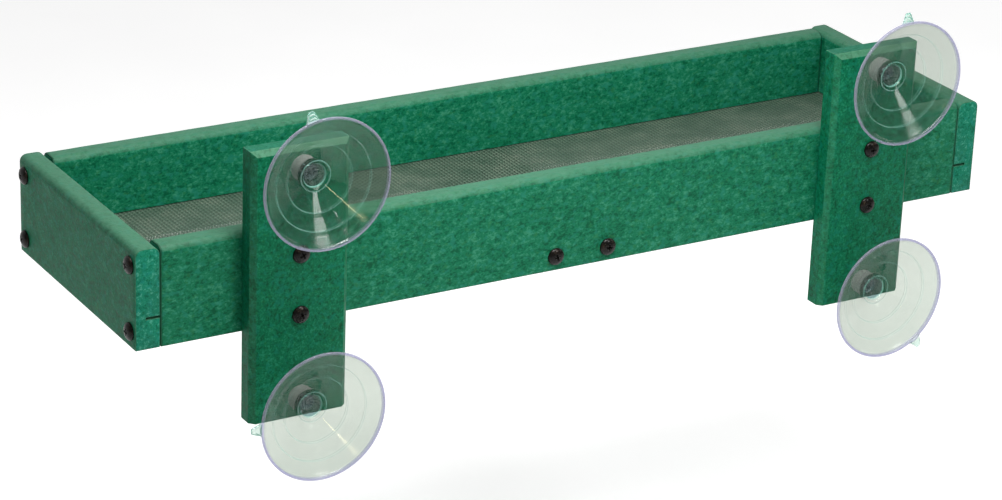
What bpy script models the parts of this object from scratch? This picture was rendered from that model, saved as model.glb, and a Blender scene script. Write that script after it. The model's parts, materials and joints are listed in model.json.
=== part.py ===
"""Window-mounted trough feeder of recycled plastic boards.

Four boards make a long open tray.  A woven screen floor sits in saw kerfs cut in
all four boards and rests on a brace across the middle.  Two upright boards on the
window side carry four suction cups, each turning on its own stud and nut.

Units are metres, +X along the trough, +Y from the window outwards, +Z up.  The
origin is the centre of the four cups, in the plane of the window glass.
"""
import bpy
import bmesh
import math
from mathutils import Vector

# ---------------------------------------------------------------- trough
TROUGH_LENGTH = 0.610
TROUGH_DEPTH = 0.172
BOARD_HEIGHT = 0.0636
BOARD_THICKNESS = 0.0156
EDGE_ROUND = 0.0045
GAP = 0.0003                    # clearance left wherever two pieces touch

KERF_CENTRE = 0.0196            # above the underside of the boards
KERF_HEIGHT = 0.0015
KERF_DEPTH = 0.0089
SCREEN_THICKNESS = 0.0009
SCREEN_EDGE_GAP = 0.0005        # between the screen's edge and the kerf's bottom
BRACE_WIDTH = 0.0635

# ---------------------------------------------------------------- uprights
UPRIGHT_SPACING = 0.4136        # between the two centre lines
UPRIGHT_WIDTH = 0.065
UPRIGHT_THICKNESS = 0.013
UPRIGHT_HEIGHT = 0.174
UPRIGHT_CHAMFER = 0.0033
TROUGH_CENTRE_X = -0.0028       # the uprights sit slightly off the trough's middle
TROUGH_BOTTOM = -0.0305

# ---------------------------------------------------------------- screws
SCREW_SHANK_RADIUS = 0.0024
SCREW_HEAD_RADIUS = 0.0056
SCREW_HEAD_HEIGHT = 0.0029
SCREW_HEAD_EDGE = 0.0006        # height of the head's straight rim
SCREW_TIP = 0.004
SCREW_STEPS = 14
LONG_SCREW = 0.038
SHORT_SCREW = 0.0254
END_SCREW_LOW = 0.0100          # above the underside of the boards
END_SCREW_HIGH = 0.0522
UPRIGHT_SCREW_LOW = 0.0102
UPRIGHT_SCREW_HIGH = 0.0490
BRACE_SCREW_SPACING = 0.038
BRACE_SCREW_HEIGHT = 0.0095
CUTTER_OVERRUN = 0.001

# ---------------------------------------------------------------- suction cups
CUP_SPACING_Z = 0.148
CUP_RADIUS = 0.0413
CUP_STANDOFF = 0.033            # window plane to the uprights' front face
CUP_STEPS = 32
NECK_RADIUS = 0.008
TAB_WIDTH = 0.0082
TAB_REACH = 0.0066              # past the cup's rim
TAB_ROOT = 0.0011               # inside the cup's rim
TAB_THICKNESS = 0.0015
TAB_TIP_WIDTH = 0.0016
TAB_FRONT = -0.0004
TAB_ANGLES = {"upper_left": 104.0, "upper_right": 95.0, "lower_left": 180.0, "lower_right": -55.0}

# ---------------------------------------------------------------- studs and nuts
STUD_RADIUS = 0.0024
STUD_HEAD_RADIUS = 0.0047
STUD_HEAD_HEIGHT = 0.0033
STUD_HEAD_UNDERSIDE = 0.0254    # behind the window plane
STUD_STICKS_OUT = 0.0025        # past the nut
STUD_HOLE_RADIUS = 0.0029
WASHER_RADIUS = 0.0064
WASHER_THICKNESS = 0.0012
NUT_ACROSS_FLATS = 0.0095
NUT_HEIGHT = 0.0032

# ---------------------------------------------------------------- derived places
UPRIGHT_FRONT = CUP_STANDOFF
UPRIGHT_BACK = UPRIGHT_FRONT + UPRIGHT_THICKNESS
TROUGH_FRONT = UPRIGHT_BACK + GAP
TROUGH_BACK = TROUGH_FRONT + TROUGH_DEPTH
TROUGH_LEFT = TROUGH_CENTRE_X - TROUGH_LENGTH / 2
TROUGH_RIGHT = TROUGH_CENTRE_X + TROUGH_LENGTH / 2
TROUGH_TOP = TROUGH_BOTTOM + BOARD_HEIGHT
INNER_LEFT = TROUGH_LEFT + BOARD_THICKNESS
INNER_RIGHT = TROUGH_RIGHT - BOARD_THICKNESS
INNER_FRONT = TROUGH_FRONT + BOARD_THICKNESS
INNER_BACK = TROUGH_BACK - BOARD_THICKNESS
KERF_Z = TROUGH_BOTTOM + KERF_CENTRE
WASHER_FRONT = UPRIGHT_BACK + GAP
NUT_FRONT = WASHER_FRONT + WASHER_THICKNESS + GAP
STUD_END = NUT_FRONT + NUT_HEIGHT + STUD_STICKS_OUT
SIDES = {"left": -UPRIGHT_SPACING / 2, "right": UPRIGHT_SPACING / 2}
LEVELS = {"upper": CUP_SPACING_Z / 2, "lower": -CUP_SPACING_Z / 2}


# ---------------------------------------------------------------- scene and helpers
def clear_scene():
    for obj in list(bpy.data.objects):
        bpy.data.objects.remove(obj, do_unlink=True)


def new_collection(name):
    collection = bpy.data.collections.new(name)
    bpy.context.scene.collection.children.link(collection)
    return collection


def new_material(name, colour, roughness, metallic=0.0, transmission=0.0):
    mat = bpy.data.materials.new(name)
    mat.use_nodes = True
    shader = mat.node_tree.nodes["Principled BSDF"]
    shader.inputs["Base Color"].default_value = (*colour, 1.0)
    shader.inputs["Roughness"].default_value = roughness
    shader.inputs["Metallic"].default_value = metallic
    shader.inputs["Transmission Weight"].default_value = transmission
    mat.diffuse_color = (*colour, 1.0)
    return mat


def add_object(name, mesh, mat, collection):
    obj = bpy.data.objects.new(name, mesh)
    if mat is not None and not mesh.materials:
        mesh.materials.append(mat)
    collection.objects.link(obj)
    return obj


def shade_round(mesh):
    mesh.shade_smooth()
    mesh.set_sharp_from_angle(angle=math.radians(40))


def box_mesh(name, low, high):
    """A box centred on its own origin; also returns the centre it belongs at."""
    size = Vector(high) - Vector(low)
    bm = bmesh.new()
    bmesh.ops.create_cube(bm, size=1.0)
    bmesh.ops.scale(bm, vec=size, verts=bm.verts)
    mesh = bpy.data.meshes.new(name)
    bm.to_mesh(mesh)
    bm.free()
    return mesh, (Vector(low) + Vector(high)) / 2


def add_box(name, low, high, mat, collection):
    mesh, centre = box_mesh(name, low, high)
    obj = add_object(name, mesh, mat, collection)
    obj.location = centre
    return obj


def bevel_edges(obj, wanted, width, segments):
    """Bevel only the edges for which wanted(end_a, end_b) is true."""
    mesh = obj.data
    weights = mesh.attributes.new("bevel_weight_edge", "FLOAT", "EDGE")
    for edge in mesh.edges:
        ends = [mesh.vertices[index].co for index in edge.vertices]
        weights.data[edge.index].value = 1.0 if wanted(*ends) else 0.0
    bevel = obj.modifiers.new("edge", "BEVEL")
    bevel.limit_method = "WEIGHT"
    bevel.width = width
    bevel.segments = segments


def cut(obj, cutter):
    boolean = obj.modifiers.new("cut_" + cutter.name, "BOOLEAN")
    boolean.operation = "DIFFERENCE"
    boolean.solver = "EXACT"
    boolean.object = cutter


def mark_cutter(obj):
    obj.hide_render = True
    obj.display_type = "WIRE"
    return obj


def box_cutter(name, low, high):
    return mark_cutter(add_box(name, low, high, None, CUTTERS))


def hole_cutter(name, start, direction, length, radius, segments=16):
    """A drill from just outside start, running length deep along direction."""
    bm = bmesh.new()
    bmesh.ops.create_cone(
        bm, cap_ends=True, segments=segments, radius1=radius, radius2=radius,
        depth=length + CUTTER_OVERRUN)
    mesh = bpy.data.meshes.new(name)
    bm.to_mesh(mesh)
    bm.free()
    obj = add_object(name, mesh, None, CUTTERS)
    along = Vector(direction).normalized()
    obj.location = Vector(start) + along * (length - CUTTER_OVERRUN) / 2
    obj.rotation_euler = along.to_track_quat("Z", "Y").to_euler()
    return mark_cutter(obj)


def profile_mesh(name, points, closed=False):
    """Points (radius, height) in millimetres, as an edge chain to be turned about Z."""
    verts = [(r / 1000, 0.0, z / 1000) for r, z in points]
    edges = [(i, i + 1) for i in range(len(verts) - 1)]
    if closed:
        edges.append((len(verts) - 1, 0))
    mesh = bpy.data.meshes.new(name)
    mesh.from_pydata(verts, edges, [])
    return mesh


def turn(obj, steps):
    screw = obj.modifiers.new("turned", "SCREW")
    screw.axis = "Z"
    screw.angle = math.tau
    screw.steps = steps
    screw.render_steps = steps
    screw.use_merge_vertices = True
    screw.merge_threshold = 0.0001
    screw.use_smooth_shade = True


def turned_mesh(name, points, steps, closed=False):
    """The finished mesh of a turned profile, ready to share between copies."""
    template = add_object(name, profile_mesh(name, points, closed), None, CUTTERS)
    turn(template, steps)
    return bake(template)


def bake(template):
    """The evaluated mesh of a template object; the template itself is removed."""
    graph = bpy.context.evaluated_depsgraph_get()
    graph.update()
    mesh = bpy.data.meshes.new_from_object(template.evaluated_get(graph))
    mesh.name = template.name
    bpy.data.objects.remove(template, do_unlink=True)
    shade_round(mesh)
    return mesh


# ---------------------------------------------------------------- turned profiles, in mm
def screw_profile(length):
    """Truss-head screw standing on z = 0, head up."""
    radius = SCREW_HEAD_RADIUS * 1000
    rise = (SCREW_HEAD_HEIGHT - SCREW_HEAD_EDGE) * 1000
    edge = SCREW_HEAD_EDGE * 1000
    shank = SCREW_SHANK_RADIUS * 1000
    dome = [(radius * math.sin(a), edge + rise * math.cos(a))
            for a in (math.radians(d) for d in (0, 24, 48, 70, 90))]
    tip = -(length - SCREW_TIP) * 1000
    return dome + [(radius, 0.0), (shank, 0.0), (shank, tip), (0.0, -length * 1000)]


def cup_profile():
    """Hub, cone and rim of the concave face, then the back, the neck and the stud's pocket.

    The window plane is z = 0 and the uprights are at z = -CUP_STANDOFF.
    """
    rim = CUP_RADIUS * 1000
    neck = NECK_RADIUS * 1000
    neck_end = -(CUP_STANDOFF - GAP) * 1000
    clearance = GAP * 1000
    bore = STUD_RADIUS * 1000 + clearance
    pocket = STUD_HEAD_RADIUS * 1000 + clearance
    pocket_back = -STUD_HEAD_UNDERSIDE * 1000 - clearance
    pocket_front = pocket_back + STUD_HEAD_HEIGHT * 1000 + 2 * clearance
    concave = [(0.0, -18.4), (7.4, -18.4), (8.2, -16.4), (9.8, -16.0), (21.1, -10.3),
               (30.9, -5.6), (38.6, -1.3), (39.2, 0.0)]
    rim_band = [(rim - 0.3, 0.0), (rim, -0.4), (rim, -2.0), (rim - 0.5, -2.6)]
    back = [(31.5, -8.6), (21.8, -13.6), (12.4, -19.6), (9.0, -23.0), (neck, -25.6)]
    end = [(neck, neck_end + 0.6), (neck - 0.6, neck_end), (bore, neck_end)]
    hollow = [(bore, pocket_back), (pocket, pocket_back), (pocket, pocket_front),
              (0.0, pocket_front)]
    return concave + rim_band + back + end + hollow


def stud_profile():
    head = STUD_HEAD_RADIUS * 1000
    shank = STUD_RADIUS * 1000
    under = -STUD_HEAD_UNDERSIDE * 1000
    top = under + STUD_HEAD_HEIGHT * 1000
    end = -STUD_END * 1000
    return [(0.0, top), (head - 1.2, top - 0.4), (head, top - 1.4), (head, under), (shank, under),
            (shank, end + 0.5), (shank - 0.5, end), (0.0, end)]


def washer_profile():
    front = -WASHER_FRONT * 1000
    back = front - WASHER_THICKNESS * 1000
    outer = WASHER_RADIUS * 1000
    inner = STUD_HOLE_RADIUS * 1000
    return [(outer, front), (outer, back), (inner, back), (inner, front)]


# ---------------------------------------------------------------- trough
def make_boards():
    """Two end boards cover the ends of the two long boards; top edges are rounded."""
    boards = {}
    spans = {
        "left_end_board": ((TROUGH_LEFT, TROUGH_FRONT), (INNER_LEFT, TROUGH_BACK)),
        "right_end_board": ((INNER_RIGHT, TROUGH_FRONT), (TROUGH_RIGHT, TROUGH_BACK)),
        "window_side_board": ((INNER_LEFT + GAP, TROUGH_FRONT), (INNER_RIGHT - GAP, INNER_FRONT)),
        "outer_side_board": ((INNER_LEFT + GAP, INNER_BACK), (INNER_RIGHT - GAP, TROUGH_BACK)),
    }
    for name, (low, high) in spans.items():
        board = add_box(name, (*low, TROUGH_BOTTOM), (*high, TROUGH_TOP), GREEN, PARTS)
        along = 1 if "end" in name else 0

        def top_long_edge(a, b, along=along):
            return a.z > 0 and b.z > 0 and abs(a[along] - b[along]) > BOARD_THICKNESS

        bevel_edges(board, top_long_edge, EDGE_ROUND, 3)
        boards[name] = board
    return boards


def cut_kerfs(boards):
    low_z = KERF_Z - KERF_HEIGHT / 2
    high_z = KERF_Z + KERF_HEIGHT / 2
    past = CUTTER_OVERRUN
    saws = {
        "left_end_board": ((INNER_LEFT - KERF_DEPTH, TROUGH_FRONT - past),
                           (INNER_LEFT + past, TROUGH_BACK + past)),
        "right_end_board": ((INNER_RIGHT - past, TROUGH_FRONT - past),
                            (INNER_RIGHT + KERF_DEPTH, TROUGH_BACK + past)),
        "window_side_board": ((INNER_LEFT - past, INNER_FRONT - KERF_DEPTH),
                              (INNER_RIGHT + past, INNER_FRONT + past)),
        "outer_side_board": ((INNER_LEFT - past, INNER_BACK - past),
                             (INNER_RIGHT + past, INNER_BACK + KERF_DEPTH)),
    }
    for name, (low, high) in saws.items():
        saw = box_cutter("saw_" + name, (*low, low_z), (*high, high_z))
        cut(boards[name], saw)


def make_screen():
    reach = KERF_DEPTH - SCREEN_EDGE_GAP
    low = (INNER_LEFT - reach, INNER_FRONT - reach, KERF_Z - SCREEN_THICKNESS / 2)
    high = (INNER_RIGHT + reach, INNER_BACK + reach, KERF_Z + SCREEN_THICKNESS / 2)
    add_box("screen_floor", low, high, WIRE_GREY, PARTS)


def make_brace():
    low = (TROUGH_CENTRE_X - BRACE_WIDTH / 2, INNER_FRONT + GAP, TROUGH_BOTTOM)
    high = (TROUGH_CENTRE_X + BRACE_WIDTH / 2, INNER_BACK - GAP, KERF_Z - SCREEN_THICKNESS / 2 - GAP)
    return add_box("centre_brace", low, high, GREEN, PARTS)


def make_uprights():
    """Chamfered along both sides and the top of the face towards the window."""
    uprights = {}
    for side, centre in SIDES.items():
        low = (centre - UPRIGHT_WIDTH / 2, UPRIGHT_FRONT, -UPRIGHT_HEIGHT / 2)
        high = (centre + UPRIGHT_WIDTH / 2, UPRIGHT_BACK, UPRIGHT_HEIGHT / 2)
        upright = add_box(side + "_upright", low, high, GREEN, PARTS)

        def front_edge(a, b):
            bottom = a.z < 0 and b.z < 0
            return a.y < 0 and b.y < 0 and not bottom

        bevel_edges(upright, front_edge, UPRIGHT_CHAMFER, 1)
        uprights[side] = upright
    return uprights


# ---------------------------------------------------------------- screws
def add_screw(name, mesh, length, point, inward, pieces):
    """A screw whose head stands on point; its hole is drilled through the given pieces."""
    out = -Vector(inward)
    screw = add_object(name, mesh, BLACK_SCREW, PARTS)
    screw.location = Vector(point) + out * GAP
    screw.rotation_euler = out.to_track_quat("Z", "Y").to_euler()
    drill = hole_cutter("drill_" + name, point, inward, length + GAP, SCREW_SHANK_RADIUS + GAP, 12)
    for piece in pieces:
        cut(piece, drill)


def add_screws(boards, uprights, brace):
    long_mesh = turned_mesh("long_screw", screw_profile(LONG_SCREW), SCREW_STEPS)
    short_mesh = turned_mesh("short_screw", screw_profile(SHORT_SCREW), SCREW_STEPS)
    half = BOARD_THICKNESS / 2
    rows = {"window": (boards["window_side_board"], TROUGH_FRONT + half, TROUGH_FRONT, 1),
            "outer": (boards["outer_side_board"], TROUGH_BACK - half, TROUGH_BACK, -1)}
    ends = {"left": (boards["left_end_board"], TROUGH_LEFT, 1),
            "right": (boards["right_end_board"], TROUGH_RIGHT, -1)}
    heights = {"upper": END_SCREW_HIGH, "lower": END_SCREW_LOW}
    for end, (end_board, x, into) in ends.items():
        for row, (long_board, y, _, _) in rows.items():
            for level, height in heights.items():
                name = "end_screw_{}_{}_{}".format(end, row, level)
                point = (x, y, TROUGH_BOTTOM + height)
                add_screw(name, long_mesh, LONG_SCREW, point, (into, 0, 0), (end_board, long_board))
    for row, (long_board, _, y, into) in rows.items():
        for side, shift in (("left", -0.5), ("right", 0.5)):
            name = "brace_screw_{}_{}".format(row, side)
            point = (TROUGH_CENTRE_X + shift * BRACE_SCREW_SPACING, y, TROUGH_BOTTOM + BRACE_SCREW_HEIGHT)
            add_screw(name, long_mesh, LONG_SCREW, point, (0, into, 0), (long_board, brace))
    for side, x in SIDES.items():
        for level, height in (("upper", UPRIGHT_SCREW_HIGH), ("lower", UPRIGHT_SCREW_LOW)):
            name = "upright_screw_{}_{}".format(side, level)
            point = (x, UPRIGHT_FRONT, TROUGH_BOTTOM + height)
            pieces = (uprights[side], boards["window_side_board"])
            add_screw(name, short_mesh, SHORT_SCREW, point, (0, 1, 0), pieces)


# ---------------------------------------------------------------- suction cups
def tab_operand():
    """The pointed pull tab on the cup's rim, as a thin extruded outline along +X."""
    root = CUP_RADIUS - TAB_ROOT
    tip = CUP_RADIUS + TAB_REACH
    outline = [(root, -TAB_WIDTH / 2), (CUP_RADIUS, -TAB_WIDTH / 2), (tip, -TAB_TIP_WIDTH / 2),
               (tip, TAB_TIP_WIDTH / 2), (CUP_RADIUS, TAB_WIDTH / 2), (root, TAB_WIDTH / 2)]
    curve = bpy.data.curves.new("pull_tab_outline", "CURVE")
    curve.dimensions = "2D"
    curve.fill_mode = "BOTH"
    curve.extrude = TAB_THICKNESS / 2
    spline = curve.splines.new("POLY")
    spline.points.add(len(outline) - 1)
    for point, (x, y) in zip(spline.points, outline):
        point.co = (x, y, 0.0, 1.0)
    spline.use_cyclic_u = True
    drawn = bpy.data.objects.new("pull_tab_outline", curve)
    CUTTERS.objects.link(drawn)
    graph = bpy.context.evaluated_depsgraph_get()
    graph.update()
    mesh = bpy.data.meshes.new_from_object(drawn.evaluated_get(graph))
    bpy.data.objects.remove(drawn, do_unlink=True)
    bm = bmesh.new()
    bm.from_mesh(mesh)
    bmesh.ops.remove_doubles(bm, verts=bm.verts, dist=0.00001)
    bmesh.ops.recalc_face_normals(bm, faces=bm.faces)
    bmesh.ops.translate(bm, vec=(0, 0, TAB_FRONT - TAB_THICKNESS / 2), verts=bm.verts)
    bm.to_mesh(mesh)
    bm.free()
    return add_object("pull_tab", mesh, None, CUTTERS)


def cup_mesh():
    template = add_object("suction_cup", profile_mesh("suction_cup", cup_profile()), None, CUTTERS)
    turn(template, CUP_STEPS)
    tab = tab_operand()
    union = template.modifiers.new("tab", "BOOLEAN")
    union.operation = "UNION"
    union.solver = "EXACT"
    union.object = tab
    mesh = bake(template)
    bpy.data.objects.remove(tab, do_unlink=True)
    return mesh


def nut_mesh():
    bm = bmesh.new()
    bmesh.ops.create_cone(
        bm, cap_ends=True, segments=6, radius1=NUT_ACROSS_FLATS / math.sqrt(3),
        radius2=NUT_ACROSS_FLATS / math.sqrt(3), depth=NUT_HEIGHT)
    mesh = bpy.data.meshes.new("cup_nut")
    bm.to_mesh(mesh)
    bm.free()
    template = add_object("cup_nut", mesh, None, CUTTERS)
    drill = hole_cutter("nut_drill", (0, 0, NUT_HEIGHT), (0, 0, -1), 2 * NUT_HEIGHT,
                        STUD_RADIUS + GAP, 12)
    cut(template, drill)
    baked = bake(template)
    bpy.data.objects.remove(drill, do_unlink=True)
    return baked


def add_cups(uprights):
    """Each cup, its stud and its nut turn together about the stud's axis."""
    cup = cup_mesh()
    stud = turned_mesh("cup_stud", stud_profile(), SCREW_STEPS)
    washer = turned_mesh("cup_washer", washer_profile(), SCREW_STEPS, closed=True)
    nut = nut_mesh()
    for side, x in SIDES.items():
        for level, z in LEVELS.items():
            place = level + "_" + side
            axis = bpy.data.objects.new("cup_axis_" + place, None)
            axis.location = (x, 0.0, z)
            axis.rotation_euler = (math.radians(90), 0.0, 0.0)
            PARTS.objects.link(axis)
            turning = {"suction_cup_": (cup, CLEAR_PVC), "cup_stud_": (stud, STEEL),
                       "cup_nut_": (nut, STEEL), "cup_washer_": (washer, STEEL)}
            for stem, (mesh, mat) in turning.items():
                piece = add_object(stem + place, mesh, mat, PARTS)
                piece.parent = axis
                if stem == "suction_cup_":
                    piece.rotation_euler.z = math.radians(TAB_ANGLES[place])
                if stem == "cup_nut_":
                    piece.location.z = -NUT_FRONT - NUT_HEIGHT / 2
            hole = hole_cutter("stud_hole_" + place, (x, UPRIGHT_FRONT, z), (0, 1, 0),
                               UPRIGHT_THICKNESS + CUTTER_OVERRUN, STUD_HOLE_RADIUS)
            cut(uprights[side], hole)


clear_scene()
PARTS = new_collection("trough_feeder")
CUTTERS = new_collection("cutters")
GREEN = new_material("green_recycled_plastic", (0.026, 0.150, 0.085), 0.62)
WIRE_GREY = new_material("coated_screen", (0.135, 0.150, 0.120), 0.55)
BLACK_SCREW = new_material("black_screw", (0.022, 0.020, 0.017), 0.32, metallic=0.8)
CLEAR_PVC = new_material("clear_pvc", (0.86, 0.86, 0.82), 0.08, transmission=0.9)
STEEL = new_material("zinc_steel", (0.55, 0.57, 0.60), 0.28, metallic=1.0)

all_boards = make_boards()
cut_kerfs(all_boards)
make_screen()
centre_brace = make_brace()
both_uprights = make_uprights()
add_screws(all_boards, both_uprights, centre_brace)
add_cups(both_uprights)
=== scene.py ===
"""The looks of the window trough feeder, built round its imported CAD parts.

Every board, screw, strand of screen, suction cup, stud, nut and washer is a finer piece that
stands for its CAD node and rides on that node's body.  Units are metres; +X runs along the
trough, +Y from the window outwards, +Z up.
"""
import json
import math
import random

import bmesh
import bpy
from mathutils import Matrix, Vector, noise

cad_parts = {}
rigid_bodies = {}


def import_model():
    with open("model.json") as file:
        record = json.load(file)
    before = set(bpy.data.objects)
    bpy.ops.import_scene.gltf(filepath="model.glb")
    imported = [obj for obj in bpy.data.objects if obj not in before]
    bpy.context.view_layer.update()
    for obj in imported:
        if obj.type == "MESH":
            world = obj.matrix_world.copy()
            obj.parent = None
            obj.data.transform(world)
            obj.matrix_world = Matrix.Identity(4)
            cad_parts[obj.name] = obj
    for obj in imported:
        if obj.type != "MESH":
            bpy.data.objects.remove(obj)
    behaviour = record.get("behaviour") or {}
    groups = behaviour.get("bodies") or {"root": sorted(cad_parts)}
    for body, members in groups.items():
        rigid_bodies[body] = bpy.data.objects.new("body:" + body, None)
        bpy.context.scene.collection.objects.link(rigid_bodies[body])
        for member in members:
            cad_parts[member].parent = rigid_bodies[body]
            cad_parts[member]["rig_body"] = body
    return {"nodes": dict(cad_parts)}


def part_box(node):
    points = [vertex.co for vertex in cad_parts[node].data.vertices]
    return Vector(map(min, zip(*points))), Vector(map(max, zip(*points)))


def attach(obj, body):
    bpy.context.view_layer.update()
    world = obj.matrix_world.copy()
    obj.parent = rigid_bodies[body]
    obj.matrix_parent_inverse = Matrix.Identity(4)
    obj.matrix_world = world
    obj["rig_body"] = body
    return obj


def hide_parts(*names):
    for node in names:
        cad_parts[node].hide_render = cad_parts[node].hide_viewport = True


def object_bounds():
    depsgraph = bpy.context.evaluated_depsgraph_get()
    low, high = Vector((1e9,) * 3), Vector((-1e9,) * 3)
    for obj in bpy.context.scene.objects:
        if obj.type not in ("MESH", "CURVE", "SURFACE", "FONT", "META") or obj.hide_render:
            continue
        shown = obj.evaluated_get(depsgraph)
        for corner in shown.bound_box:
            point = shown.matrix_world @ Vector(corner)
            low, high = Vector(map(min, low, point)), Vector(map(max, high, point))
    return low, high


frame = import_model()
CAD_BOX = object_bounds()
MM = 0.001
CHANCE = random.Random(7)

# ---------------------------------------------------------------- sizes
BOARDS = ("left_end_board", "right_end_board", "window_side_board", "outer_side_board")
ROUND = 4.5 * MM                 # rounding of a trough board's two top edges
SAWN_EDGE = 0.35 * MM            # the other edges are only just broken
END_BREAK = 0.8 * MM             # of the long boards' ends, where they butt against the end boards
KERF_DEPTH = 8.9 * MM
KERF_HEIGHT = 1.5 * MM
CHAMFER = 3.3 * MM               # round the window face of an upright
EDGE_WANDER = 0.10 * MM          # how far a rounded edge strays along a board
FLAT_MARGIN = 0.8 * MM           # a flat face starts this far from its edges, so it stays flat

STRAND_SPACING_X = 2.83 * MM     # between the strands that cross the trough
STRAND_SPACING_Y = 1.68 * MM     # between the strands that run along it
ACROSS_WIDTH = 1.40 * MM
ALONG_WIDTH = 1.30 * MM
STRAND_THICKNESS = 0.46 * MM
ACROSS_RISE = 0.28 * MM          # of a strand's middle, up and down, as it weaves
ALONG_RISE = 0.20 * MM

SCREW_HEAD_RADIUS = 5.6 * MM
SCREW_HEAD_HEIGHT = 2.9 * MM
SCREW_RIM = 0.6 * MM
SCREW_SHANK = 2.3 * MM
HEAD_GAP = 0.3 * MM              # the CAD head stands this far off its board

CUP_RADIUS = 41.3 * MM
BEADS = (21.1 * MM, 30.9 * MM)   # radii of the two fine beads on the cup's face
HUB_RINGS = (7.3 * MM, 9.6 * MM)   # the dish's corner and the crest where the cone meets the hub
TAB_REACH = 6.6 * MM
TAB_HALF_WIDTH = 4.1 * MM
TAB_START = 40.5 * MM            # the rim is drawn out into the tab from here
TAB_RIBS = 3

STUD_RADIUS = 2.4 * MM
STUD_HEAD_RADIUS = 4.7 * MM
STUD_HEAD_TOP = -22.1 * MM
STUD_HEAD_UNDERSIDE = -25.4 * MM
STUD_HOLE = 2.9 * MM
THREAD_PITCH = 0.8 * MM
THREAD_DEPTH = 0.4 * MM
WASHER_HOLE = 2.9 * MM

FLOOR_DROP = 200 * MM            # the floor lies this far under the feeder, so no shadow shows near it
FLOOR_GLOW = 0.36                # of the floor behind the feeder
FRONT_GLOW = 0.12                # of the floor on the window side, where the studio is dark
BACK_SKY = 0.75                  # how bright the studio is behind the feeder
FRONT_SKY = 0.15                 # on the window side
TOP_SKY = 0.10                   # and overhead

# the middle of the screen, which is also the middle of the kerfs, and the long boards' reach along X
SCREEN_LEVEL = sum(corner.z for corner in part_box("screen_floor")) / 2
LONG_BOARD = [corner.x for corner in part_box("window_side_board")]


# ---------------------------------------------------------------- node helpers
def colour(red, green, blue):
    """An sRGB colour, each part 0 to 255, as linear RGBA."""
    parts = [part / 255 for part in (red, green, blue)]
    linear = [p / 12.92 if p <= 0.04045 else ((p + 0.055) / 1.055) ** 2.4 for p in parts]
    return (*linear, 1.0)


def add_node(tree, kind, inputs=None, **settings):
    made = tree.nodes.new(kind)
    for key, value in settings.items():
        setattr(made, key, value)
    for key, value in (inputs or {}).items():
        if isinstance(value, bpy.types.NodeSocket):
            tree.links.new(value, made.inputs[key])
        else:
            made.inputs[key].default_value = value
    return made


def object_coords(tree, stretch=(1, 1, 1), shift=(0, 0, 0)):
    coords = add_node(tree, "ShaderNodeTexCoord")
    mapped = add_node(tree, "ShaderNodeMapping", {
        "Vector": coords.outputs["Object"], "Scale": stretch, "Location": shift})
    return mapped.outputs["Vector"]


def noise_of(tree, coords, scale, detail=2.0, roughness=0.5, distortion=0.0):
    made = add_node(tree, "ShaderNodeTexNoise", {
        "Vector": coords, "Scale": scale, "Detail": detail, "Roughness": roughness,
        "Distortion": distortion})
    return made.outputs[0]


def maths(tree, operation, first, second=0.0, clamp=False):
    made = add_node(tree, "ShaderNodeMath", {0: first, 1: second}, operation=operation, use_clamp=clamp)
    return made.outputs[0]


def spread(tree, value, low, high, to_low=0.0, to_high=1.0):
    """value from low..high, made to run smoothly over to_low..to_high."""
    made = add_node(tree, "ShaderNodeMapRange", {
        "Value": value, "From Min": low, "From Max": high, "To Min": to_low, "To Max": to_high},
        interpolation_type="SMOOTHSTEP")
    return made.outputs["Result"]


def mix_colour(tree, factor, first, second):
    made = add_node(tree, "ShaderNodeMix", data_type="RGBA")
    for socket, value in ((made.inputs[0], factor), (made.inputs[6], first), (made.inputs[7], second)):
        if isinstance(value, bpy.types.NodeSocket):
            tree.links.new(value, socket)
        else:
            socket.default_value = value
    return made.outputs[2]


def ramp(tree, factor, stops):
    made = add_node(tree, "ShaderNodeValToRGB", {"Fac": factor})
    elements = made.color_ramp.elements
    while len(elements) < len(stops):
        elements.new(0.5)
    for element, (place, tint) in zip(elements, stops):
        element.position = place
        element.color = tint
    return made.outputs["Color"]


def blend_shaders(tree, factor, first, second):
    made = add_node(tree, "ShaderNodeMixShader", {"Fac": factor, 1: first, 2: second})
    return made.outputs["Shader"]


def bump(tree, height, distance, strength=1.0):
    made = add_node(tree, "ShaderNodeBump", {"Height": height, "Distance": distance, "Strength": strength})
    return made.outputs["Normal"]


def start_material(name):
    mat = bpy.data.materials.new(name)
    mat.use_nodes = True
    return mat, mat.node_tree, mat.node_tree.nodes["Principled BSDF"]


def wear_and_top_shading_masks(tree):
    """Two masks: one is 1 on rounded and chamfered edges, for real wear, the other is 1 on whatever faces up,
    for painted top shading.
    """
    normal = add_node(tree, "ShaderNodeNewGeometry").outputs["True Normal"]
    parts = add_node(tree, "ShaderNodeSeparateXYZ", {"Vector": normal})
    sizes = [maths(tree, "ABSOLUTE", parts.outputs[axis]) for axis in range(3)]
    largest = maths(tree, "MAXIMUM", maths(tree, "MAXIMUM", sizes[0], sizes[1]), sizes[2])
    return spread(tree, largest, 0.90, 0.999, 1.0, 0.0), spread(tree, parts.outputs["Z"], 0.30, 0.85)


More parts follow.
